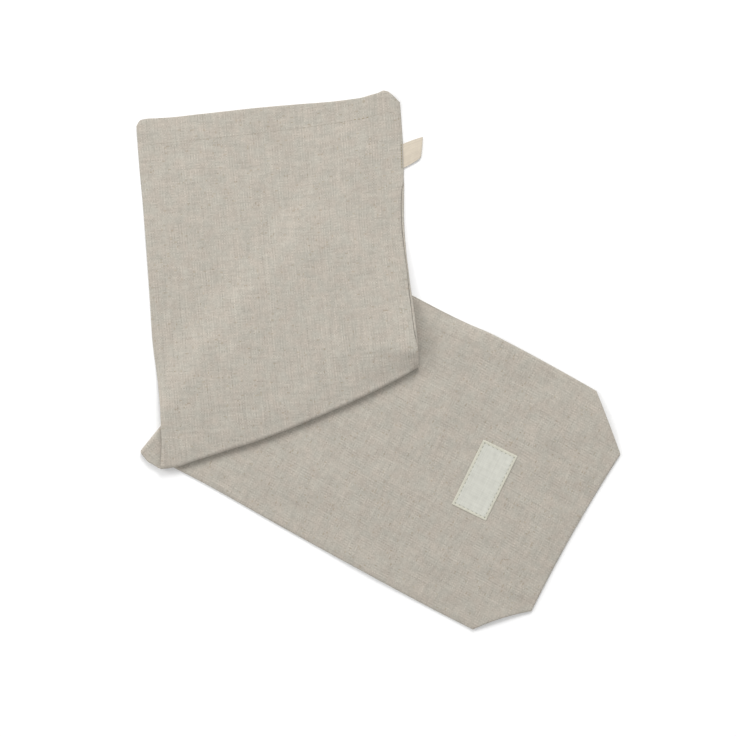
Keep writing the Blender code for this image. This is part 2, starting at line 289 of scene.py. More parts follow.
# Slow uneven lie of the front panel: waves that never quite repeat
WAVES = (
    # across and along wavelength (mm), height (mm), start (turns)
    (71, 146, 0.16, 0.10),
    (-54, 97, 0.12, 0.37),
    (38, -83, 0.09, 0.71),
    (-27, -49, 0.06, 0.23),
    (23, 31, 0.04, 0.55),
)
WAVE_BEND = 0.35                # how far the waves wander sideways, in turns
WAVE_BEND_SIZE = (160 * MM, 210 * MM)   # across and along wavelength of that
WAVE_LIFT = 0.25 * MM           # raises them, since what falls below the flat place is cut off
RIDGE_EDGE = 3 * MM             # how far in from a seam a ridge or a trough is full
RIDGE_CLEAR = 6 * MM            # how far from a fold it is
PUCKER_PITCH = 8.5 * MM         # small puckers that the side seams draw in the cloth
PUCKER_HEIGHT = 0.16 * MM
PUCKER_EDGE = 2 * MM            # how far in from the seam they start
PUCKER_REACH = 6 * MM           # and how far in they are felt
PUCKER_STRAY = 0.4              # how far they stray from even spacing, in pitches
PUCKER_STRAY_RUN = 13 * MM      # how slowly that changes, for a radian

# The weave of the front panel is drawn askew at the right of the mouth
DRAWN = 8 * MM                  # how far
DRAWN_FROM, DRAWN_RUN = 10 * MM, 110 * MM       # across: where it starts, and is full after
DRAWN_FADE = 230 * MM           # along: where it has gone

TACKING = (78.5 * MM, 90 * MM)  # across: tacking stitches in the hem, right of the middle
TACKING_THREAD = 1.4            # thickness of its thread, against the hem's
STITCH_CLEAR = 0.02 * MM        # between a stitch's middle line and the cloth
HEM_STITCH = 2.3 * MM           # length of one stitch
LABEL_STITCH = 2.1 * MM
LABEL_THREAD = 1.3              # thickness of the label's thread, against the hem's
TAG_STITCH = 2.2 * MM
TAG_STITCH_PITCH = 2.3 * MM
TAG_STITCH_INSET = 1.7 * MM     # tacking stitches beside the tag, in from the bag's edge
TAG_STITCH_SHORT = 0.8 * MM     # how far from each end of that seam they stop

LABEL_CLOTH = 0.45 * MM         # thickness of the label's cotton
LABEL_TURN = 0.7 * MM           # radius of its turned-under edge
LABEL_FULL = 0.37 * MM          # how far that edge stands up
LABEL_DRAWN = 0.14 * MM         # how far its stitches draw it down
LABEL_SINGLE = 0.17 * MM        # how much lower the single cloth inside lies
LABEL_SINGLE_RUN = 2.5 * MM     # how far it takes to get that low
LABEL_BULGE = 0.1 * MM          # height of the slight unevenness of its middle
LABEL_BULGE_RUN = 6 * MM        # how far in it is full
LABEL_BULGE_SIZE = (7 * MM, 9 * MM)     # how slowly it changes, for a radian
LABEL_WEAVE = 0.75 * MM         # its threads, drawn coarser than real ones so that they show
LABEL_EDGE_STEPS = (0, 0.12, 0.35, 0.7, 1.2, 1.8, 2.3, 2.8, 3.6, 5.0)
LABEL_MESH = 3 * MM

TAG_CLOTH = 0.4 * MM            # thickness of the tag's ribbon
TAG_BEND = 0.55 * MM            # radius of its outer fold
TAG_TUCK = 2.5 * MM             # of it in the seam
TAG_NARROWS = 2.2 * MM          # narrower at its outer fold
TAG_SKEW = 1.1 * MM             # how far askew it is folded
TAG_CLIPPED = 1.4 * MM          # off the fold's lower end
TAG_CLIP_SHARE = 0.14           # share of the ribbon's width that this takes
TAG_WAVE = 0.5 * MM             # height of its slight wave
TAG_WAVE_TURN = (2.6, 0.4)      # that wave over the ribbon's width, and its start, in radians
TAG_RISE = 0.35 * MM            # how far its outer fold stands up
TAG_PRESSED = 0.45              # share of its fullness left where the seam presses it
TAG_PRESSED_RUN = 12 * MM       # how far out it takes to be full
TAG_UNDER = 0.2 * MM            # how far inside the bag's edge it comes out
TAG_LIFT_LOST = 0.6             # share of the seam's lift that is gone at its outer fold
TAG_POINTS = 12                 # mesh points along each half, and over its width
TAG_WEAVE = 0.7 * MM            # its threads, drawn coarser than real ones so that they show

FOLD_ROWS = 13                  # mesh rows round each fold
NEAR_ROWS = 4                   # and just before it
NEAR_FOLD = 3.2 * MM
BOTTOM_ROWS = (36, 33, 30, 27, 24, 21, 18, 15, 12.5, 10)    # mm in from the bottom edge

FLOOR_REACH = 6.0
BACK_LIGHT_AT = (0.10, 1.75, 1.55)
LEFT_LIGHT_AT = (-1.85, 0.75, 1.30)
CAMERA_OVER = (-8.3 * MM, -6.5 * MM)
VIEW_LEVEL = 4 * MM             # height at which the view width is measured


def to_linear(colour):
    """Linear colour of an sRGB hex value."""
    parts = [int(colour[i:i + 2], 16) / 255 for i in (0, 2, 4)]
    return [v / 12.92 if v <= 0.04045 else ((v + 0.055) / 1.055) ** 2.4 for v in parts]


# ---------------------------------------------------------------- settings

class ClothSettings(bpy.types.PropertyGroup):
    thickness: FloatProperty(name="Cloth thickness", description="Thickness of one layer of linen",
                             default=0.5 * MM, min=0.2 * MM, max=0.9 * MM, unit="LENGTH")
    mesh_step: FloatProperty(name="Mesh step", description="Spacing of the cloth's mesh",
                             default=2.6 * MM, min=2 * MM, max=8 * MM, unit="LENGTH")
    unevenness: FloatProperty(name="Unevenness", description="Height of the waves, creases and "
                              "puckers, against their usual height", default=1.0, min=0, max=2)
    linen: FloatVectorProperty(name="Linen", description="Colour of the unbleached linen",
                               default=to_linear("A8A298"), size=3, min=0, max=1, subtype="COLOR")
    # Assumed for such a linen is a thread every 0.55 to 1 mm, which is too fine to show, so it
    # is drawn a little coarser
    thread_pitch: FloatProperty(name="Thread pitch", description="Distance between two threads",
                                default=1.15 * MM, min=0.3 * MM, max=3 * MM, unit="LENGTH")


class LabelSettings(bpy.types.PropertyGroup):
    width: FloatProperty(name="Width", description="Label, from its left side to its right",
                         default=64.6 * MM, unit="LENGTH")
    height: FloatProperty(name="Height", description="Label, from its top to its bottom",
                          default=34.0 * MM, unit="LENGTH")
    across: FloatProperty(name="Across", description="Its middle, right of the bag's centre line",
                          default=3.4 * MM, unit="LENGTH")
    along: FloatProperty(name="Along", description="Its middle, down from the bag's mouth",
                         default=638 * MM, unit="LENGTH")
    turn: FloatProperty(name="Turn", description="How far it is sewn on askew",
                        default=math.radians(-2.3), unit="ROTATION")
    stitch_inset: FloatProperty(name="Stitch inset", description="Stitches, in from its edge",
                                default=2.3 * MM, unit="LENGTH")
    stitch_pitch: FloatProperty(name="Stitch pitch", description="From one stitch to the next",
                                default=4.0 * MM, min=1 * MM, unit="LENGTH")
    cotton: FloatVectorProperty(name="Cotton", description="Colour of the label's cotton",
                                default=to_linear("BFBFB6"), size=3, min=0, max=1,
                                subtype="COLOR")
    edge: FloatVectorProperty(name="Edge", description="Colour of its turned-under edge",
                              default=to_linear("C0BEB0"), size=3, min=0, max=1,
                              subtype="COLOR")
    # The label's stitches are coloured darker than their grey-green thread: painted shade of the
    # needle holes they sit in
    thread: FloatVectorProperty(name="Thread", description="Colour of the label's stitches",
                                default=to_linear("86897C"), size=3, min=0, max=1,
                                subtype="COLOR")


class TagSettings(bpy.types.PropertyGroup):
    start: FloatProperty(name="Start", description="Its upper edge at the seam, from the mouth",
                         default=42.8 * MM, unit="LENGTH")
    width: FloatProperty(name="Width", description="Length of seam that the ribbon fills",
                         default=21.6 * MM, unit="LENGTH")
    reach: FloatProperty(name="Reach", description="How far it stands out of the seam",
                         default=18.5 * MM, unit="LENGTH")
    turn: FloatProperty(name="Turn", description="How far it leans towards the mouth",
                        default=math.radians(19), unit="ROTATION")
    ribbon: FloatVectorProperty(name="Ribbon", description="Colour of the cotton ribbon",
                                default=to_linear("BFB5A5"), size=3, min=0, max=1,
                                subtype="COLOR")


class StitchSettings(bpy.types.PropertyGroup):
    hem_pitch: FloatProperty(name="Hem pitch", description="From one hem stitch to the next",
                             default=3.0 * MM, min=1 * MM, unit="LENGTH")
    thread_radius: FloatProperty(name="Thread radius", description="Half the thread's thickness",
                                 default=0.2 * MM, min=0.05 * MM, unit="LENGTH")
    linen: FloatVectorProperty(name="Linen thread", description="Colour of the hem's stitches",
                               default=to_linear("9E978A"), size=3, min=0, max=1,
                               subtype="COLOR")
    ochre: FloatVectorProperty(name="Ochre thread", description="Colour of the tacking stitches "
                               "in the hem and beside the tag", default=to_linear("7F724A"),
                               size=3, min=0, max=1, subtype="COLOR")
    seed: IntProperty(name="Seed", description="Start of the stitches' small irregularities",
                      default=4)


class StageSettings(bpy.types.PropertyGroup):
    lens: FloatProperty(name="Lens", description="Focal length, in millimetres on a 36 mm sensor",
                        default=150, min=20, max=400)
    view_width: FloatProperty(name="View width", description="Width of floor that the camera sees",
                              default=663.3 * MM, unit="LENGTH")
    sky: FloatProperty(name="Sky", description="Strength of the light from all round",
                       default=0.76, min=0)
    back: FloatProperty(name="Back light", description="Power of the soft light behind the bag, "
                        "in watts", default=30, min=0)
    left: FloatProperty(name="Left light", description="Power of the low soft light at the left, "
                        "in watts", default=17, min=0)
    light_size: FloatProperty(name="Light size", description="Width of each soft light",
                              default=1.1, min=0.1, unit="LENGTH")


class BagSettings(bpy.types.PropertyGroup):
    cloth: PointerProperty(name="Cloth", description="The two panels", type=ClothSettings)
    label: PointerProperty(name="Label", description="The sewn-on label", type=LabelSettings)
    tag: PointerProperty(name="Tag", description="The ribbon tag", type=TagSettings)
    stitch: PointerProperty(name="Stitches", description="The sewing", type=StitchSettings)
    stage: PointerProperty(name="Stage", description="Light and camera", type=StageSettings)


# ---------------------------------------------------------------- how the bag is folded

def column(table, index, at):
    """Reads a table's column on a smooth curve through its rows; in and out in metres."""
    rows = np.array(table, dtype=float) * MM
    x, y = rows[:, 0], rows[:, index]
    slope = np.gradient(y, x)
    at = np.clip(at, x[0], x[-1])
    k = np.clip(np.searchsorted(x, at, side="right") - 1, 0, len(x) - 2)
    span = x[k + 1] - x[k]
    u = (at - x[k]) / span
    start = y[k] * (1 + 2 * u) + slope[k] * span * u
    end = y[k + 1] * (3 - 2 * u) - slope[k + 1] * span * (1 - u)
    return start * (1 - u) ** 2 + end * u ** 2


def mounds(table, across, along):
    """Sum of the soft mounds in a table."""
    total = np.zeros_like(across)
    for x, y, half_x, half_y, height in table:
        away = ((across / MM - x) / half_x) ** 2 + ((along / MM - y) / half_y) ** 2
        total += height * MM * np.exp(-MOUND_FALL * away)
    return total


def ease(value):
    """0 below 0, 1 above 1, and a soft rise between."""
    value = np.clip(value, 0.0, 1.0)
    return value * value * (3 - 2 * value)


class Fold:
    """A straight fold line on the flat bag, and how the cloth bends round it."""

    def __init__(self, row, radius):
        along, slant = row
        slant = math.radians(slant)
        self.along = along * MM
        self.slope = math.tan(slant)
        self.forward = (-math.sin(slant), math.cos(slant))
        self.radius = radius
        self.half = math.pi * radius / 2

    def distance(self, across, along):
        """How far a point lies past the fold line."""
        return across * self.forward[0] + (along - self.along) * self.forward[1]

    def shift(self, across, along, step):
        """A point moved square to the fold line."""
        return across + step * self.forward[0], along + step * self.forward[1]

    def mirror(self, across, along):
        """A point on the other side of the fold line."""
        return self.shift(across, along, -2 * self.distance(across, along))

    def bend(self, across, along):
        """Plan place of a point that goes round the fold, and the angle it has turned."""
        past = self.distance(across, along)
        angle = np.clip((past + self.half) / self.radius, 0.0, math.pi)
        round_it = -self.half + self.radius * np.sin(angle)
        place = np.where(past < -self.half, past, np.where(past > self.half, -past, round_it))
        return (*self.shift(across, along, place - past), angle)


FIRST = Fold(FOLDS[0], (HIGH - MIDDLE) / 2)
SECOND = Fold(FOLDS[1], (MIDDLE - LOW) / 2)


def drape(across, along):
    """Height of the upper run's middle surface over a place, in the upper run's own plan."""
    in_middle = FIRST.mirror(across, along)
    in_lower = SECOND.mirror(*in_middle)
    past_second = SECOND.distance(*in_middle)
    off_middle = np.maximum(past_second, in_middle[0] - HALF_WIDTH)
    off_lower = np.maximum(past_second, in_lower[0] - HALF_WIDTH)
    off_fold = np.maximum(-FIRST.distance(across, along) - FIRST.half, 0)
    past_edge = np.maximum(along - column(STAND_EDGE, 1, across), 0)
    to_edge = past_edge / (off_fold + past_edge + 0.01 * MM)
    slope = 1 - to_edge * (STAND_EASY + (1 - STAND_EASY) * to_edge)
    slope *= (1 + STAND_TURN) * slope / (slope + STAND_TURN)
    return (LOW + (HIGH - MIDDLE) * (1 - ease((off_lower - DRAPE_CLEAR) / DRAPE_RUN))
            + (MIDDLE - LOW) * (1 - ease((off_middle - DRAPE_CLEAR) / DRAPE_RUN))
            + mounds(LIFTS, across, along)
            + mounds(STANDS, across, along) * slope)


def bow(across, past_first, past_second):
    """Outward move of the cloth beside the first fold, which isn't quite straight."""
    before = 1 - ease((-past_first - FIRST.half) / BOW_REACH)
    room = np.clip(past_first - past_second - 2 * SECOND.half, MM, BOW_REACH)
    after = 1 - ease((past_first - FIRST.half) / room)
    return column(FIRST_FOLD, 1, across) * np.where(past_first < 0, before, after)


def turn_to_floor(vector):
    """Turns a direction from the flat bag's across, along and up to X, Y and Z."""
    c, s = math.cos(BAG_TURN), math.sin(BAG_TURN)
    return np.stack((vector[0] * c + vector[1] * s, vector[0] * s - vector[1] * c, vector[2]),
                    axis=-1)


def to_floor(plan, level):
    """X, Y and Z of a place in the folded bag's plan, at a height over the floor."""
    place = turn_to_floor(np.stack((plan[0], plan[1], level)))
    place[..., 0] += MOUTH_CENTRE[0]
    place[..., 1] += MOUTH_CENTRE[1]
    return place


def lay_bag(across, along, offset):
    """Where a place of the flat bag lies on the folded one, offset out of its front."""
    past_first = FIRST.distance(across, along)
    past_second = SECOND.distance(across, along)
    *plan, first_angle = FIRST.bend(across, along)
    *under, second_angle = SECOND.bend(across, along)
    upper = past_first < -FIRST.half
    after_first = past_first > FIRST.half
    plan = np.where(after_first, FIRST.mirror(*under), plan)
    plan = np.stack(FIRST.shift(*plan, bow(across, past_first, past_second)))

    level = np.where(upper, drape(*plan), HIGH - FIRST.radius * (1 - np.cos(first_angle)))
    below = MIDDLE - SECOND.radius * (1 - np.cos(second_angle)) + mounds(LIFTS, across, along)
    level = np.where(after_first, below, level)
    level += np.where(past_second < -SECOND.half, mounds(SPRINGS, *plan), 0)

    step = 0.1 * MM
    slope = [(drape(plan[0] + i, plan[1] + j) - drape(plan[0] - i, plan[1] - j)) / (2 * step)
             for i, j in ((step, 0), (0, step))]
    sloping = np.stack((-slope[0], -slope[1], np.ones_like(slope[0])))
    sloping /= np.linalg.norm(sloping, axis=0)
    tilt = np.sin(first_angle)
    round_first = np.stack((tilt * FIRST.forward[0], tilt * FIRST.forward[1],
                            np.cos(first_angle)))
    tilt = -np.sin(second_angle)
    turned = FIRST.mirror(SECOND.forward[0], SECOND.forward[1] + FIRST.along)
    round_second = np.stack((tilt * turned[0], tilt * (turned[1] - FIRST.along),
                             -np.cos(second_angle)))
    normal = np.where(upper, sloping, np.where(after_first, round_second, round_first))
    return to_floor(plan, level) + turn_to_floor(normal) * offset[..., None]


# ---------------------------------------------------------------- how the cloth lies

def uncovered(across, along):
    """How far a place is from the folds and from what covers it; 0 where it is covered."""
    past_first = FIRST.distance(across, along)
    past_second = SECOND.distance(across, along)
    under_upper = FIRST.mirror(*SECOND.mirror(across, along))
    beside = np.maximum(FIRST.distance(*under_upper), under_upper[0] - HALF_WIDTH)
    return np.where(past_first < 0, -past_first - FIRST.half,
                    np.where(past_second < 0, 0, beside))


def ridges(across, along):
    """Sum of the creases, each softer on one side than on the other."""
    total = np.zeros_like(across)
    for from_across, from_along, to_across, to_along, height, before, after in CREASES:
        run = np.array((to_across - from_across, to_along - from_along)) * MM
        length = np.hypot(*run)
        run /= length
        x, y = across - from_across * MM, along - from_along * MM
        gone = x * run[0] + y * run[1]
        beside = (y * run[0] - x * run[1]) * np.sign(run[0])
        reach = np.where(beside < 0, before, after) * MM
        fade = CREASE_FADE * length
        ends = ease(gone / fade + 0.6) * ease((length - gone) / fade + 0.4)
        total += height * MM * np.exp(-(beside / reach) ** 2) * ends
    return total


def waves(across, along):
    """Slow uneven lie of cloth that has been washed and ironed."""
    total = np.zeros_like(across)
    for long_across, long_along, height, start in WAVES:
        turns = across / (long_across * MM) + along / (long_along * MM) + start
        bend = WAVE_BEND * np.sin(2 * math.pi * (along / WAVE_BEND_SIZE[1]
                                                 - across / WAVE_BEND_SIZE[0] + start))
        total += height * MM * np.sin(2 * math.pi * (turns + bend))
    return total


def front_lie(across, along, unevenness):
    """How far the front panel stands above its flat place on the back panel."""
    free = uncovered(across, along)
    past_first = FIRST.distance(across, along)
    shown = ease((free - SLACK_START) / SLACK_FADE)
    from_top = (past_first + LOOSE_BEFORE) / LOOSE_REACH
    round_fold = 1 - ease((past_first + FIRST.half) / (2 * FIRST.half))
    loose = column(FIRST_FOLD, 2, across) * np.exp(-from_top ** 2) * round_fold
    left, right = -column(SIDES, 1, along), column(SIDES, 2, along)
    inset = np.minimum(across - left, right - across)
    off_seam = ease(inset / SEAM_FADE)
    near = np.exp(-(inset / PUCKER_REACH) ** 2) * ease(inset / PUCKER_EDGE)
    stray = PUCKER_STRAY * np.sin(along / PUCKER_STRAY_RUN)
    pitch = 2 * math.pi * (along / PUCKER_PITCH + stray)
    pucker = PUCKER_HEIGHT * (1 + np.sin(pitch + np.sign(across))) * near
    sewn_in = ALLOWANCE * np.exp(-((inset - ALLOWANCE_AT) / ALLOWANCE_REACH) ** 2)
    still = mounds(SWELLS, across, along) * shown * off_seam + loose * off_seam
    uneven = ((waves(across, along) + WAVE_LIFT) * off_seam * ease(free / SLACK_FADE)
              + ridges(across, along) * ease(inset / RIDGE_EDGE) * ease(free / RIDGE_CLEAR)
              + pucker)
    return still + sewn_in * ease(free / SLACK_START) + unevenness * np.maximum(uneven, 0)


def roll_over(length):
    """Inset and height of cloth that rolls over a seamed edge, and the way into the bag.

    length is measured round the edge from its outermost line, upwards on the front.
    """
    quarter = math.pi / 2 * math.sqrt((ROLL_WIDTH ** 2 + PANEL_UP ** 2) / 2)
    angle = np.clip(length / quarter, -1, 1) * math.pi / 2
    inset = ROLL_WIDTH * (1 - np.cos(angle)) + np.maximum(np.abs(length) - quarter, 0)
    inward = np.stack((np.cos(angle) / ROLL_WIDTH, -np.sin(angle) / PANEL_UP))
    return inset, PANEL_UP * np.sin(angle), inward / np.linalg.norm(inward, axis=0)


def seam_edge(side, seam, thickness):
    """Inset and height of a panel's mesh columns at a seamed edge, from the seam inwards.

    side is 1 for the front panel and -1 for the back; seam is where the seam lies round
    the edge, one value for each row of the mesh.
    """
    step = np.array(ROLL_STEPS) * MM
    start = seam + side * thickness * SEAM_SHARE
    share = step / step[-1]
    length = start[:, None] * (1 - share) + side * ROLL_END * share
    inset, height, inward = roll_over(length)
    turned = 1 - np.clip(step / SEAM_LIP, 0, 1)
    dip = SEAM_LIP * (1 - np.sqrt(1 - turned ** 2))
    tuck = np.array((SEAM_LIP + SEAM_TUCK, SEAM_LIP + SEAM_TUCK / 2))
    first = [np.repeat(part[..., :1], 2, axis=-1) + tuck * inward[i][:, :1]
             for i, part in enumerate((inset, height))]
    edge = [np.concatenate((lead, part + dip * inward[i]), axis=1)
            for i, (lead, part) in enumerate(zip(first, (inset, height)))]
    return edge[0] + thickness / 2, edge[1]


def row_lines(step):
    """Rows of the cloth mesh, each a line along = start + slope * across on the flat bag."""
    left, right = CORNERS
    corner_slope = (right[1] - left[1]) / (right[0] - left[0])
    corner_start = (left[1] - corner_slope * left[0]) * MM
    stops = [(0.0, 0.0, 0)]
    for fold in (FIRST, SECOND):
        reach = fold.half / fold.forward[1]
        near = fold.along - reach
        stops += [(near - NEAR_FOLD, fold.slope, 0), (near, fold.slope, NEAR_ROWS),
                  (fold.along + reach, fold.slope, FOLD_ROWS)]
    stops.append((corner_start, corner_slope, 0))
    lines = [stops[0][:2]]
    for start, end in zip(stops, stops[1:]):
        count = end[2] or max(2, round((end[0] - start[0]) / step))
        for i in range(1, count + 1):
            lines.append(tuple(a + (b - a) * i / count for a, b in zip(start[:2], end[:2])))
    return lines


def panel_grid(side, cloth):
    """Across, along and height of every mesh point of a panel, without its turned-in hem."""
    lines = np.array(row_lines(cloth.mesh_step))
    left = -column(SIDES, 1, lines[:, 0] - lines[:, 1] * HALF_WIDTH)
    right = column(SIDES, 2, lines[:, 0] + lines[:, 1] * HALF_WIDTH)
    ends = np.stack((left, lines[:, 0] + lines[:, 1] * left,
                     right, lines[:, 0] + lines[:, 1] * right), axis=1)

    # Rows that close in between the boxed corners, down to the bottom seam
    bottom_edge = seam_edge(side, np.zeros(1), cloth.thickness)
    insets = np.concatenate((np.array(BOTTOM_ROWS) * MM, bottom_edge[0][0, ::-1]))
    flatness = np.concatenate((np.ones(len(BOTTOM_ROWS)),
                               side * bottom_edge[1][0, ::-1] / PANEL_UP))
    depth = (CORNERS[0][3] - CORNERS[0][1]) * MM
    share = 1 - insets / depth
    lower = []
    for from_across, from_along, to_across, to_along, hollow in CORNERS:
        wide, deep = to_across - from_across, to_along - from_along
        dip = hollow * 4 * share * (1 - share) / math.hypot(wide, deep) * np.sign(wide)
        lower.append(((from_across + wide * share + deep * dip) * MM,
                      (from_along + deep * share - wide * dip) * MM))
    ends = np.concatenate((ends, np.stack((*lower[0], *lower[1]), axis=1)))
    flat = np.concatenate((np.ones(len(lines)), flatness))
    sag = np.concatenate((np.zeros(len(lines)), BOTTOM_SAG * share))

    seams = [column(SEAMS, index, ends[:, 2 * index - 1]) for index in (1, 2)]
    left_edge = seam_edge(side, seams[0], cloth.thickness)
    right_edge = seam_edge(side, seams[1], cloth.thickness)
    width = ends[:, 2] - ends[:, 0]
    count = round(2 * (HALF_WIDTH - ROLL_END) / cloth.mesh_step)
    over = np.linspace(0, 1, count + 1)[1:-1]
    from_left = left_edge[0][:, -1:]
    from_right = right_edge[0][:, -1:]
    inner = from_left + (width[:, None] - from_left - from_right) * over
    out = np.concatenate((left_edge[0], inner, width[:, None] - right_edge[0][:, ::-1]), axis=1)
    high = np.full_like(inner, side * PANEL_UP)
    height = np.concatenate((left_edge[1], high, right_edge[1][:, ::-1]), axis=1)
    height *= flat[:, None]

    gone = out / width[:, None]
    across = ends[:, :1] + out
    along = (ends[:, 1:2] + (ends[:, 3:] - ends[:, 1:2]) * gone
             - sag[:, None] * 4 * gone * (1 - gone))
    along = along + column(MOUTH, 1, across) * (1 - ease(along / MOUTH_FADE))
    return across, along, height, flat


def panel_sheet(side, cloth):
    """Points of a panel's middle, and its flat places, with its hem turned in at the mouth."""
    across, along, height, flat = panel_grid(side, cloth)
    if side > 0:
        height = height + front_lie(across, along, cloth.unevenness) * ease(flat)[:, None]

    # The hem: round the mouth edge, then back down inside the bag
    gap = 2 * HEM_ROUND
    base = along[0] + HEM_ROUND
    inside = across[0] * (1 - HEM_INSET / HALF_WIDTH)

    def inner(down):
        rise = front_lie(inside, down, cloth.unevenness) if side > 0 else 0 * inside
        return side * PANEL_UP + rise - side * gap

    within = inner(base)
    hem = []
    deepest = column(HEM_LINE, 1, inside) + HEM_SPARE
    for share in reversed(HEM_SHARES):
        depth = deepest * share
        hem.append((inside, base + depth, inner(base + depth), along[0] - depth))
    for angle in np.radians((-90, -60, -30, 0, 30, 60)):
        turned = (1 - math.sin(angle)) / 2
        hem.append((across[0] + (inside - across[0]) * turned,
                    base - HEM_ROUND * math.cos(angle),
                    height[0] + (within - height[0]) * turned,
                    along[0] + HEM_ROUND * (math.sin(angle) - 1)))
    along[0] = base
    hem = np.array(hem)
    flat_along = np.concatenate((hem[:, 3], along))
    across, along, height = [np.concatenate((hem[:, i], grid))
                             for i, grid in enumerate((across, along, height))]
    return lay_bag(across, along, height), np.stack((across, flat_along), axis=-1)


def cut_size(flat):
    """The rectangle that holds a panel's flat places, and the area of the places themselves."""
    one, other = flat[1:, 1:] - flat[:-1, :-1], flat[1:, :-1] - flat[:-1, 1:]
    area = np.abs(one[..., 0] * other[..., 1] - one[..., 1] * other[..., 0]).sum() / 2
    return tuple(float(size) for size in np.ptp(flat, axis=(0, 1))), float(area)


def grain(flat):
    """Places on the weave of flat places, with the weave drawn askew at the mouth."""
    across, along = flat[..., 0], flat[..., 1]
    right = column(SIDES, 2, along)
    drawn = DRAWN * ease((across - DRAWN_FROM) / DRAWN_RUN) * (1 - ease(along / DRAWN_FADE))
    return np.stack((np.where(across > 0, across * HALF_WIDTH / right, across), along + drawn),
                    axis=-1)


# ---------------------------------------------------------------- meshes

def put(name, data):
    """Puts a mesh, a curve, a light or a camera in the scene."""
    made = bpy.data.objects.new(name, data)
    bpy.context.scene.collection.objects.link(made)
    return made


def grid_normals(points):
    """Unit normals of a grid of points, to the left of its rows seen along its columns."""
    down, over = np.gradient(points, axis=0), np.gradient(points, axis=1)
    normal = np.cross(down, over)
    return normal / np.maximum(np.linalg.norm(normal, axis=-1, keepdims=True), 1e-12)


def sheet_object(name, points, flat, thickness, material, flip=False):
    """Thin closed sheet round a grid of middle points, with its flat places as UV map."""
    normal = grid_normals(points) * (-1 if flip else 1)
    rows, columns = points.shape[:2]
    layers = np.stack((points + normal * thickness / 2, points - normal * thickness / 2))
    index = np.arange(2 * rows * columns).reshape(2, rows, columns)
    quads = []
    for layer, turn in ((0, flip), (1, not flip)):
        grid = index[layer]
        corners = [grid[:-1, :-1], grid[1:, :-1], grid[1:, 1:], grid[:-1, 1:]]
        if turn:
            corners.reverse()
        quads.append(np.stack([c.ravel() for c in corners], axis=1))
    ring = [np.concatenate((i[0, :-1], i[:-1, -1], i[-1, :0:-1], i[:0:-1, 0])) for i in index]
    after = [np.roll(r, -1) for r in ring]
    rim = [ring[0], after[0], after[1], ring[1]]
    if flip:
        rim.reverse()
    quads.append(np.stack(rim, axis=1))
    quads = np.concatenate(quads)

    mesh = bpy.data.meshes.new(name)
    mesh.from_pydata(layers.reshape(-1, 3).tolist(), [], quads.tolist())
    mesh.materials.append(material)
    place = np.concatenate((flat.reshape(-1, 2), flat.reshape(-1, 2)))
    loops = np.zeros(len(mesh.loops), dtype=np.int32)
    mesh.loops.foreach_get("vertex_index", loops)
    uv = mesh.uv_layers.new(name=CLOTH_MAP)
    uv.data.foreach_set("uv", place[loops].astype(np.float32).ravel())
    mesh.shade_smooth()
    mesh.set_sharp_from_angle(angle=math.radians(55))
    mesh.validate()
    return put(name, mesh)


def curve_object(name, runs):
    """Poly curve along each run of points."""
    curve = bpy.data.curves.new(name, "CURVE")
    curve.dimensions = "3D"
    for points in runs:
        spline = curve.splines.new("POLY")
        spline.points.add(len(points) - 1)
        flat = np.concatenate((points, np.ones((len(points), 1))), axis=1)
        spline.points.foreach_set("co", flat.astype(np.float32).ravel())
    return put(name, curve)


# ---------------------------------------------------------------- finishes

def add(tree, kind, inputs=None, **fields):
    """Adds a node with its fields, and sets or links its inputs."""
    made = tree.nodes.new(kind)
    for field, value in fields.items():
        setattr(made, field, value)
    for key, value in (inputs or {}).items():
        if isinstance(value, bpy.types.Node):
            value = value.outputs[0]
        if isinstance(value, bpy.types.NodeSocket):
            tree.links.new(value, made.inputs[key])
        else:
            made.inputs[key].default_value = value
    return made


def new_finish(name, **surface):
    """Node material whose Principled shader has the given values, with _ for a space."""
    material = bpy.data.materials.new(name)
    material.use_nodes = True
    shader = material.node_tree.nodes["Principled BSDF"]
    for socket, value in surface.items():
        shader.inputs[socket.replace("_", " ")].default_value = value
    return material, material.node_tree, shader


def woven_threads(tree, pitch, wander):
    """Plain weave: thread numbers, places within a thread, and which thread is on top."""
    flat = add(tree, "ShaderNodeUVMap", uv_map=CLOTH_MAP)
    threads = add(tree, "ShaderNodeVectorMath", {0: flat, 1: (1 / pitch, 1 / pitch, 0)},
                  operation="MULTIPLY")
    drift = add(tree, "ShaderNodeTexNoise", {"Vector": threads, "Scale": 0.05, "Detail": 2.0},
                noise_dimensions="2D")
    moved = add(tree, "ShaderNodeVectorMath",
                {0: drift.outputs[1], 1: (wander, wander, 0), 2: threads},
                operation="MULTIPLY_ADD")
    place = add(tree, "ShaderNodeSeparateXYZ", {0: moved})
    number, within = [[add(tree, "ShaderNodeMath", {0: place.outputs[i]}, operation=part)
                       for i in (0, 1)] for part in ("FLOOR", "FRACT")]
    both = add(tree, "ShaderNodeMath", {0: number[0], 1: number[1]}, operation="ADD")
    warp_on_top = add(tree, "ShaderNodeMath", {0: both, 1: 2.0}, operation="FLOORED_MODULO")
    return place, number, within, warp_on_top


def weave_height(tree, within, warp_on_top):
    """Height of a plain weave: round threads that pass over and under each other."""
    humps = []
    for i in (0, 1):
        half_turn = add(tree, "ShaderNodeMath", {0: within[i], 1: math.pi}, operation="MULTIPLY")
        humps.append(add(tree, "ShaderNodeMath", {0: half_turn}, operation="SINE"))
    return add(tree, "ShaderNodeMix", {0: warp_on_top, 2: humps[1], 3: humps[0]},
               data_type="FLOAT")


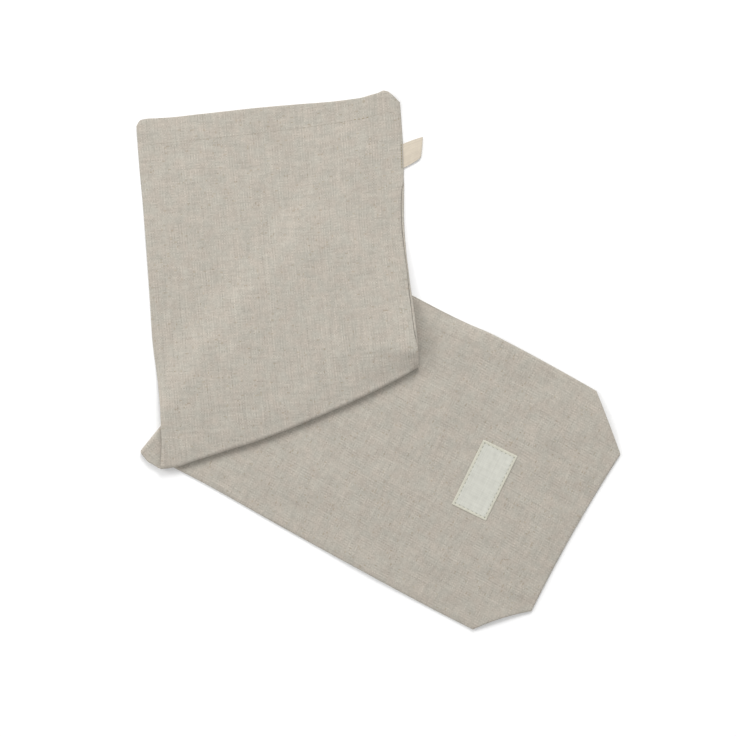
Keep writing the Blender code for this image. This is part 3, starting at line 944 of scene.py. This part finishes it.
def linen_finish(name, colour, pitch):
    """Washed, unbleached linen in plain weave.

    Spun by nature's uneven fibre: threads differ in tone, swell in slubs and carry dark
    specks of straw.  The surface is dull, with a faint fuzz.
    """
    material, tree, shader = new_finish(name, Roughness=0.92, Specular_IOR_Level=0.2,
                                        Sheen_Weight=0.12, Sheen_Roughness=0.6)
    place, number, within, warp_on_top = woven_threads(tree, pitch, 1.6)

    # Tone of each thread, its own and shared with its neighbours, changing on its way
    tones = []
    for i, slow, shift in ((0, 32 * MM, 3.1), (1, 20 * MM, 17.7)):
        run = add(tree, "ShaderNodeMath", {0: place.outputs[1 - i], 1: pitch / slow},
                  operation="MULTIPLY")
        pair = []
        for spread, detail in ((5.37, 2.0), (0.37, 1.0)):
            thread = add(tree, "ShaderNodeMath", {0: number[i], 1: spread, 2: shift},
                         operation="MULTIPLY_ADD")
            spot = add(tree, "ShaderNodeCombineXYZ", {0: thread, 1: run})
            pair.append(add(tree, "ShaderNodeTexNoise", {"Vector": spot, "Scale": 1.0,
                                                         "Detail": detail},
                            noise_dimensions="2D"))
        tones.append(add(tree, "ShaderNodeMix", {0: 0.3, 2: pair[0], 3: pair[1]},
                         data_type="FLOAT"))
    tone = add(tree, "ShaderNodeMix", {0: warp_on_top, 2: tones[1], 3: tones[0]},
               data_type="FLOAT")
    light = add(tree, "ShaderNodeMapRange", {0: tone, 1: 0.2, 2: 0.8, 3: 0.81, 4: 1.19})

    # Each crossing takes the light in its own way, because the yarn is never evenly round
    crossing = add(tree, "ShaderNodeCombineXYZ", {0: number[0], 1: number[1]})
    grain_tone = add(tree, "ShaderNodeTexWhiteNoise", {"Vector": crossing},
                     noise_dimensions="2D")
    grain_light = add(tree, "ShaderNodeMapRange", {0: grain_tone, 3: 0.92, 4: 1.08})

    # Every other warp thread is spun a little fuller, which shows as faint ribs
    other = add(tree, "ShaderNodeMath", {0: number[0], 1: 2.0}, operation="FLOORED_MODULO")
    rib_light = add(tree, "ShaderNodeMapRange", {0: other, 3: 0.975, 4: 1.025})

    # Cloudy change of tone and tint, from the retting and the wash
    flat = add(tree, "ShaderNodeUVMap", uv_map=CLOTH_MAP)
    clouds = add(tree, "ShaderNodeTexNoise", {"Vector": flat, "Scale": 1 / (17 * MM),
                                              "Detail": 4.0, "Roughness": 0.6},
                 noise_dimensions="2D")
    cloud_light = add(tree, "ShaderNodeMapRange", {0: clouds, 1: 0.25, 2: 0.75, 3: 0.963,
                                                   4: 1.037})
    tint_spots = add(tree, "ShaderNodeTexNoise", {"Vector": flat, "Scale": 1 / (11 * MM),
                                                  "Detail": 3.0}, noise_dimensions="2D")
    tint = add(tree, "ShaderNodeValToRGB", {0: tint_spots})
    for end, position, shade in ((0, 0.33, (1.016, 0.995, 0.985, 1)),
                                 (1, 0.67, (0.986, 1.004, 1.002, 1))):
        tint.color_ramp.elements[end].position = position
        tint.color_ramp.elements[end].color = shade

    # Specks of straw that lie in single threads
    specks = []
    for i, length, often in ((0, 1.6, 0.992), (1, 2.1, 0.991)):
        block = add(tree, "ShaderNodeMath", {0: place.outputs[1 - i], 1: length},
                    operation="DIVIDE")
        block = add(tree, "ShaderNodeMath", {0: block}, operation="FLOOR")
        cell = add(tree, "ShaderNodeCombineXYZ", {0: number[i], 1: block, 2: float(i)})
        chance = add(tree, "ShaderNodeTexWhiteNoise", {"Vector": cell}, noise_dimensions="3D")
        specks.append(add(tree, "ShaderNodeMath", {0: chance, 1: often},
                          operation="GREATER_THAN"))
    speck = add(tree, "ShaderNodeMath", {0: specks[0], 1: specks[1]}, operation="MAXIMUM")

    base = add(tree, "ShaderNodeMix", {0: 1.0, 6: (*colour, 1.0), 7: tint},
               data_type="RGBA", blend_type="MULTIPLY")
    lights = light
    for part in (cloud_light, grain_light, rib_light):
        lights = add(tree, "ShaderNodeMath", {0: lights, 1: part}, operation="MULTIPLY")
    toned = add(tree, "ShaderNodeVectorMath", {0: base.outputs[2], "Scale": lights},
                operation="SCALE")
    straw = add(tree, "ShaderNodeMix", {0: 1.0, 6: toned, 7: (0.88, 0.85, 0.80, 1.0)},
                data_type="RGBA", blend_type="MULTIPLY")
    done = add(tree, "ShaderNodeMix", {0: speck, 6: toned, 7: straw.outputs[2]},
               data_type="RGBA")
    tree.links.new(done.outputs[2], shader.inputs["Base Color"])

    weave = weave_height(tree, within, warp_on_top)
    rough = add(tree, "ShaderNodeMath", {0: tone, 1: 1.6, 2: weave}, operation="MULTIPLY_ADD")
    bump = add(tree, "ShaderNodeBump", {"Strength": 0.5, "Distance": 0.12 * MM, "Height": rough})
    tree.links.new(bump.outputs[0], shader.inputs["Normal"])
    return material


def cotton_finish(name, colour, pitch, twill, hem=None):
    """Fine woven cotton of a label or a ribbon: smooth, close and a little glossier.

    hem is the colour of a turned-under edge, and where it starts on each side of the middle.
    """
    material, tree, shader = new_finish(name, Roughness=0.8, Specular_IOR_Level=0.3,
                                        Sheen_Weight=0.08)
    _, number, within, warp_on_top = woven_threads(tree, pitch, 0.6)
    tones = [add(tree, "ShaderNodeTexWhiteNoise", {"W": number[i]}, noise_dimensions="1D")
             for i in (0, 1)]
    tone = add(tree, "ShaderNodeMix", {0: twill, 2: tones[0], 3: tones[1]}, data_type="FLOAT")
    flat = add(tree, "ShaderNodeUVMap", uv_map=CLOTH_MAP)
    clouds = add(tree, "ShaderNodeTexNoise", {"Vector": flat, "Scale": 1 / (5 * MM),
                                              "Detail": 4.0}, noise_dimensions="2D")
    mixed = add(tree, "ShaderNodeMix", {0: 0.6, 2: tone, 3: clouds}, data_type="FLOAT")
    light = add(tree, "ShaderNodeMapRange", {0: mixed, 1: 0.2, 2: 0.8, 3: 0.9, 4: 1.1})
    toned = add(tree, "ShaderNodeVectorMath", {0: colour, "Scale": light}, operation="SCALE")
    if hem:
        # The doubled cloth of the turned edge looks fuller and creamier than the middle
        side = add(tree, "ShaderNodeVectorMath", {0: flat}, operation="ABSOLUTE")
        past = add(tree, "ShaderNodeVectorMath", {0: side, 1: (*hem[1], 0)},
                   operation="SUBTRACT")
        reach = add(tree, "ShaderNodeSeparateXYZ", {0: past})
        outer = add(tree, "ShaderNodeMath", {0: reach.outputs[0], 1: reach.outputs[1]},
                    operation="MAXIMUM")
        share = add(tree, "ShaderNodeMapRange", {0: outer, 1: -0.3 * MM, 2: 0.3 * MM})
        edge = add(tree, "ShaderNodeVectorMath", {0: hem[0], "Scale": light},
                   operation="SCALE")
        toned = add(tree, "ShaderNodeMix", {0: share, 4: toned, 5: edge}, data_type="VECTOR")
    tree.links.new(toned.outputs[1 if hem else 0], shader.inputs["Base Color"])
    weave = weave_height(tree, within, warp_on_top)
    bump = add(tree, "ShaderNodeBump", {"Strength": 0.4, "Distance": 0.06 * MM, "Height": weave})
    tree.links.new(bump.outputs[0], shader.inputs["Normal"])
    return material


def thread_finish(name, colour):
    """Two-ply sewing thread: its twist shows as fine slanted ribs."""
    material, tree, shader = new_finish(name, Roughness=0.7, Sheen_Weight=0.1)
    where = add(tree, "ShaderNodeTexCoord")
    ribs = add(tree, "ShaderNodeTexWave", {"Vector": where.outputs["Object"],
                                           "Scale": 1 / (0.9 * MM), "Distortion": 1.0},
               wave_type="BANDS", bands_direction="DIAGONAL")
    light = add(tree, "ShaderNodeMapRange", {0: ribs.outputs[1], 1: 0.0, 2: 1.0, 3: 0.9,
                                             4: 1.05})
    toned = add(tree, "ShaderNodeVectorMath", {0: colour, "Scale": light}, operation="SCALE")
    tree.links.new(toned.outputs[0], shader.inputs["Base Color"])
    return material


def floor_finish():
    """Matt pale paper for the floor: no gloss at all, and a tooth too faint to see as a pattern.
    """
    material, tree, shader = new_finish("matt pale paper", Roughness=1.0,
                                        Specular_IOR_Level=0.0)
    where = add(tree, "ShaderNodeTexCoord")
    tooth = add(tree, "ShaderNodeTexNoise", {"Vector": where.outputs["Object"], "Scale": 400.0})
    light = add(tree, "ShaderNodeMapRange", {0: tooth, 1: 0.3, 2: 0.7, 3: 0.90, 4: 0.91})
    shade = add(tree, "ShaderNodeCombineXYZ", {0: light, 1: light, 2: light})
    tree.links.new(shade.outputs[0], shader.inputs["Base Color"])
    return material


# ---------------------------------------------------------------- stitches

def stitch_tree():
    """Geometry nodes that sew: a stitch at each pitch of a curve, each a little its own way."""
    tree = bpy.data.node_groups.new("stitches", "GeometryNodeTree")
    made = {}
    for name, kind, way in (("Path", "NodeSocketGeometry", "INPUT"),
                            ("Pitch", "NodeSocketFloat", "INPUT"),
                            ("Stitch length", "NodeSocketFloat", "INPUT"),
                            ("Thread radius", "NodeSocketFloat", "INPUT"),
                            ("Thread", "NodeSocketMaterial", "INPUT"),
                            ("Seed", "NodeSocketInt", "INPUT"),
                            ("Stitches", "NodeSocketGeometry", "OUTPUT")):
        made[name] = tree.interface.new_socket(name, in_out=way, socket_type=kind).identifier
    given = add(tree, "NodeGroupInput")
    points = add(tree, "GeometryNodeCurveToPoints",
                 {"Curve": given.outputs["Path"], "Length": given.outputs["Pitch"]},
                 mode="LENGTH")
    half = add(tree, "ShaderNodeMath", {0: given.outputs["Stitch length"], 1: 0.5},
               operation="MULTIPLY")
    radius = given.outputs["Thread radius"]
    shape = add(tree, "ShaderNodeCombineXYZ", {0: radius, 1: radius, 2: half})
    ball = add(tree, "GeometryNodeMeshUVSphere", {"Segments": 8, "Rings": 6, "Radius": 1.0})
    stitch = add(tree, "GeometryNodeTransform", {"Geometry": ball.outputs[0], "Scale": shape})
    askew = add(tree, "FunctionNodeRandomValue",
                {0: (-0.07, -0.07, -0.07), 1: (0.07, 0.07, 0.07), "Seed": given.outputs["Seed"]},
                data_type="FLOAT_VECTOR")
    turn = add(tree, "FunctionNodeRotateRotation",
               {"Rotation": points.outputs["Rotation"], "Rotate By": askew.outputs[0]},
               rotation_space="LOCAL")
    size = add(tree, "FunctionNodeRandomValue",
               {0: (0.94, 0.94, 0.86), 1: (1.06, 1.06, 1.04), "Seed": given.outputs["Seed"]},
               data_type="FLOAT_VECTOR")
    row = add(tree, "GeometryNodeInstanceOnPoints",
              {"Points": points.outputs["Points"], "Instance": stitch.outputs[0],
               "Rotation": turn.outputs[0], "Scale": size.outputs[0]})
    real = add(tree, "GeometryNodeRealizeInstances", {"Geometry": row.outputs[0]})
    smooth = add(tree, "GeometryNodeSetShadeSmooth", {"Geometry": real.outputs[0]})
    finish = add(tree, "GeometryNodeSetMaterial",
                 {"Geometry": smooth.outputs[0], "Material": given.outputs["Thread"]})
    add(tree, "NodeGroupOutput", {0: finish.outputs[0]})
    return tree, made


def sew(name, runs, pitch, length, radius, seed, material):
    """A row of stitches along each run of points, as a plain mesh."""
    tree, inputs = stitch_tree()
    path = curve_object(name + "_path", runs)
    sewing = path.modifiers.new("stitches", "NODES")
    sewing.node_group = tree
    for key, value in (("Pitch", pitch), ("Stitch length", length), ("Thread radius", radius),
                       ("Thread", material), ("Seed", seed)):
        sewing[inputs[key]] = value
    shown = path.evaluated_get(bpy.context.evaluated_depsgraph_get())
    mesh = bpy.data.meshes.new_from_object(shown)
    mesh.name = name
    made = put(name, mesh)
    bpy.data.objects.remove(path, do_unlink=True)
    if not mesh.polygons:
        raise RuntimeError(f"{name}: the stitches came out empty")
    return made


def front_face(across, along, cloth, above):
    """Points above the front panel's outer face."""
    height = PANEL_UP + front_lie(across, along, cloth.unevenness)
    return lay_bag(across, along, height + cloth.thickness / 2 + above)


# ---------------------------------------------------------------- operators

class BREADBAG_OT_front_panel(bpy.types.Operator):
    """Lay the front panel of linen, with its hem and rolled seams"""
    bl_idname = "bread_bag.front_panel"
    bl_label = "Front panel"

    def execute(self, context):
        cloth = context.scene.bread_bag.cloth
        points, flat = panel_sheet(1, cloth)
        finish = linen_finish("plain-woven linen", cloth.linen[:], cloth.thread_pitch)
        piece = sheet_object("front_linen", points, grain(flat), cloth.thickness, finish)
        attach(piece, BODY)
        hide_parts("front_panel")
        return {"FINISHED"}


class BREADBAG_OT_back_panel(bpy.types.Operator):
    """Lay the back panel of linen under the front one"""
    bl_idname = "bread_bag.back_panel"
    bl_label = "Back panel"

    def execute(self, context):
        cloth = context.scene.bread_bag.cloth
        points, flat = panel_sheet(-1, cloth)
        flat = flat + np.array((0.4, 0.0))     # other threads than the front panel's
        finish = bpy.data.materials["plain-woven linen"]
        piece = sheet_object("back_linen", points, flat, cloth.thickness, finish, flip=True)
        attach(piece, BODY)
        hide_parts("back_panel")
        return {"FINISHED"}


class BREADBAG_OT_label(bpy.types.Operator):
    """Sew the blank label on the front, near the bottom"""
    bl_idname = "bread_bag.label"
    bl_label = "Label"

    def execute(self, context):
        bag = context.scene.bread_bag
        label, cloth = bag.label, bag.cloth
        half = np.array((label.width, label.height)) / 2
        finish = cotton_finish("close-woven label cotton", label.cotton[:], LABEL_WEAVE, 0.5,
                               hem=(label.edge[:], half - label.stitch_inset))

        def on_bag(u, v, above):
            c, s = math.cos(label.turn), math.sin(label.turn)
            return front_face(label.across + u * c - v * s, label.along + u * s + v * c,
                              cloth, above)

        # Columns and rows close together at the turned-under edges
        steps = np.array(LABEL_EDGE_STEPS) * MM
        places = [np.concatenate((steps[:-1] - size,
                                  np.linspace(steps[-1] - size, size - steps[-1],
                                              round(2 * size / LABEL_MESH)),
                                  size - steps[-2::-1])) for size in half]
        u, v = np.meshgrid(*places)
        inset = np.minimum(half[0] - np.abs(u), half[1] - np.abs(v))
        turned = np.clip(1 - inset / LABEL_TURN, 0, 1)
        dimples = 1 + 0.5 * np.sin(2 * math.pi * (u + v) / label.stitch_pitch)
        drawn = np.exp(-((inset - label.stitch_inset) / LABEL_TURN) ** 2) * dimples
        inner = inset - label.stitch_inset - LABEL_TURN
        crown = (LABEL_FULL * np.sqrt(1 - turned ** 2) - LABEL_DRAWN * drawn
                 - LABEL_SINGLE * ease(inner / LABEL_SINGLE_RUN)
                 + LABEL_BULGE * ease(inner / LABEL_BULGE_RUN)
                 * np.sin(u / LABEL_BULGE_SIZE[0] + 1) * np.cos(v / LABEL_BULGE_SIZE[1]))
        piece = sheet_object("label_cloth", on_bag(u, v, LABEL_CLOTH / 2 + crown),
                             np.stack((u, v), axis=-1), LABEL_CLOTH, finish)
        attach(piece, BODY)
        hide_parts("label")

        x, y = half - label.stitch_inset
        corners = ((-x, -y), (x, -y), (x, y), (-x, y), (-x, -y))
        over = np.linspace(0, 1, 40)
        above = LABEL_CLOTH + LABEL_FULL - LABEL_DRAWN
        runs = [on_bag(a + (c - a) * over, b + (d - b) * over, above)
                for (a, b), (c, d) in zip(corners, corners[1:])]
        # Grey-green thread, drawn darker as painted shade of its needle holes
        thread = thread_finish("label thread with painted hole shade", label.thread[:])
        stitches = sew("label_stitches", runs, label.stitch_pitch, LABEL_STITCH,
                       bag.stitch.thread_radius * LABEL_THREAD, bag.stitch.seed, thread)
        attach(stitches, BODY)
        return {"FINISHED"}


class BREADBAG_OT_hem_stitches(bpy.types.Operator):
    bl_idname = "bread_bag.hem_stitches"
    bl_label = "Hem stitches"

    def execute(self, context):
        bag = context.scene.bread_bag
        cloth, stitch = bag.cloth, bag.stitch

        def line(start, end):
            across = np.linspace(start, end, 160)
            depth = column(HEM_LINE, 1, across)
            edge = column(MOUTH, 1, across) * (1 - ease(depth / MOUTH_FADE))
            return across, edge + depth

        runs = [front_face(*line(*run), cloth, STITCH_CLEAR)
                for run in ((HEM_ENDS[0], TACKING[0]), (TACKING[1], HEM_ENDS[1]), TACKING)]
        across, along = line(*HEM_ENDS)
        sunk = stitch.thread_radius + STITCH_CLEAR - HALF_BAG
        back = lay_bag(across, along, np.full_like(across, sunk))
        thread = thread_finish("linen sewing thread", stitch.linen[:])
        tacking = thread_finish("ochre tacking thread", stitch.ochre[:])
        sewn = {"front_linen": [], "back_linen": []}
        for name, paths, finish, carrier in (
                ("front_hem_stitches", runs[:2], thread, "front_linen"),
                ("front_hem_tacking", runs[2:], tacking, "front_linen"),
                ("back_hem_stitches", [back], thread, "back_linen")):
            radius = stitch.thread_radius * (TACKING_THREAD if finish is tacking else 1)
            piece = sew(name, paths, stitch.hem_pitch, HEM_STITCH, radius, stitch.seed, finish)
            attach(piece, BODY)
            sewn[carrier].append(piece)
        for side, carrier, under in ((1, "front_linen", "back_linen"),
                                     (-1, "back_linen", "floor")):
            size, area = cut_size(panel_sheet(side, cloth)[1])
        return {"FINISHED"}


class BREADBAG_OT_side_tag(bpy.types.Operator):
    """Fold the ribbon tag and catch its ends in the right side seam"""
    bl_idname = "bread_bag.side_tag"
    bl_label = "Side tag"

    def execute(self, context):
        bag = context.scene.bread_bag
        tag = bag.tag
        run = tag.reach - TAG_BEND - TAG_CLOTH / 2
        straight = np.linspace(-TAG_TUCK, run, TAG_POINTS)
        turn = np.radians(np.linspace(0, 180, 11)[1:-1])
        out = np.concatenate((straight, run + TAG_BEND * np.sin(turn), straight[::-1]))
        lift = np.concatenate((np.full(TAG_POINTS, TAG_BEND), TAG_BEND * np.cos(turn),
                               np.full(TAG_POINTS, -TAG_BEND)))
        lift *= TAG_PRESSED + (1 - TAG_PRESSED) * ease((out + TAG_TUCK) / TAG_PRESSED_RUN)
        length = np.concatenate(([0], np.cumsum(np.hypot(np.diff(out), np.diff(lift)))))

        # The ribbon narrows a little outwards, is folded askew and waves
        over = np.linspace(0, 1, TAG_POINTS)
        starts = tag.start + tag.width * over
        root = column(SIDES, 2, starts) - TAG_UNDER
        gone = np.clip(out / tag.reach, 0, 1)[:, None]
        across = (root + out[:, None] * math.cos(tag.turn) + gone * TAG_SKEW * (1 - 2 * over)
                  - gone * TAG_CLIPPED * ease((over - 1) / TAG_CLIP_SHARE + 1))
        along = (starts - out[:, None] * math.sin(tag.turn)
                 - TAG_NARROWS * gone ** 2 * (over - 0.5))
        wave = TAG_RISE + TAG_WAVE * np.sin(TAG_WAVE_TURN[0] * over + TAG_WAVE_TURN[1])
        level = (LOW + lift[:, None] + gone * wave
                 + mounds(LIFTS, root, starts) * (1 - TAG_LIFT_LOST * gone))
        flat = np.stack(np.meshgrid(length, tag.width * over, indexing="ij"), axis=-1)
        finish = cotton_finish("cotton ribbon", tag.ribbon[:], TAG_WEAVE, 0.75)
        piece = sheet_object("side_ribbon", to_floor((across, along), level), flat, TAG_CLOTH,
                             finish, flip=True)
        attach(piece, BODY)
        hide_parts("side_tag")

        along = np.linspace(starts[0] + TAG_STITCH_SHORT, starts[-1] - TAG_STITCH_SHORT, 30)
        across = column(SIDES, 2, along) - TAG_STITCH_INSET
        thread = bpy.data.materials["ochre tacking thread"]
        stitches = sew("tag_stitches", [front_face(across, along, bag.cloth, STITCH_CLEAR)],
                       TAG_STITCH_PITCH, TAG_STITCH,
                       bag.stitch.thread_radius * TACKING_THREAD, bag.stitch.seed, thread)
        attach(stitches, BODY)
        return {"FINISHED"}


class BREADBAG_OT_stage(bpy.types.Operator):
    """Set up the pale floor, the soft light and the camera straight above"""
    bl_idname = "bread_bag.stage"
    bl_label = "Stage"

    def execute(self, context):
        stage = context.scene.bread_bag.stage
        mesh = bpy.data.meshes.new("floor")
        mesh.from_pydata([(x * FLOOR_REACH, y * FLOOR_REACH, 0) for x, y in
                          ((-1, -1), (1, -1), (1, 1), (-1, 1))], [], [(0, 1, 2, 3)])
        mesh.materials.append(floor_finish())
        floor = put("floor", mesh)

        world = bpy.data.worlds.new("studio")
        world.use_nodes = True
        sky = world.node_tree.nodes["Background"]
        sky.inputs["Color"].default_value = (1.0, 1.0, 1.0, 1.0)
        sky.inputs["Strength"].default_value = stage.sky
        context.scene.world = world
        context.scene.view_settings.view_transform = "Standard"

        for name, power, place in (("back light", stage.back, BACK_LIGHT_AT),
                                   ("left light", stage.left, LEFT_LIGHT_AT)):
            lamp = bpy.data.lights.new(name, "AREA")
            lamp.shape = "DISK"
            lamp.size = stage.light_size
            lamp.energy = power
            light = put(name, lamp)
            light.location = place
            light.rotation_euler = (-light.location).to_track_quat("-Z", "Y").to_euler()

        view = bpy.data.cameras.new("from straight above")
        view.lens = stage.lens
        view.sensor_width = 36
        view.clip_end = 20
        camera = put("from straight above", view)
        above = stage.view_width * stage.lens / view.sensor_width
        camera.location = (*CAMERA_OVER, above + VIEW_LEVEL)
        context.scene.camera = camera
        return {"FINISHED"}


STEPS = (BREADBAG_OT_front_panel, BREADBAG_OT_back_panel, BREADBAG_OT_hem_stitches,
         BREADBAG_OT_label, BREADBAG_OT_side_tag, BREADBAG_OT_stage)


class BREADBAG_PT_bag(bpy.types.Panel):
    """Sizes, colours and steps of the bread bag"""
    bl_idname = "BREADBAG_PT_bag"
    bl_label = "Bread bag"
    bl_space_type = "VIEW_3D"
    bl_region_type = "UI"
    bl_category = "Bread bag"

    def draw(self, context):
        bag = context.scene.bread_bag
        for group in ("cloth", "label", "tag", "stitch", "stage"):
            box = self.layout.box()
            settings = getattr(bag, group)
            box.label(text=group.capitalize())
            for name in settings.__annotations__:
                box.prop(settings, name)
        for step in STEPS:
            self.layout.operator(step.bl_idname)


CLASSES = (ClothSettings, LabelSettings, TagSettings, StitchSettings, StageSettings, BagSettings,
           *STEPS, BREADBAG_PT_bag)


def register():
    for kind in CLASSES:
        bpy.utils.register_class(kind)
    bpy.types.Scene.bread_bag = PointerProperty(name="Bread bag", type=BagSettings,
                                                description="Sizes and colours of the bag")


def unregister():
    del bpy.types.Scene.bread_bag
    for kind in reversed(CLASSES):
        bpy.utils.unregister_class(kind)


def main():
    register()
    for step in STEPS:
        group, name = step.bl_idname.split(".")
        getattr(getattr(bpy.ops, group), name)()


if __name__ == "__main__":
    main()
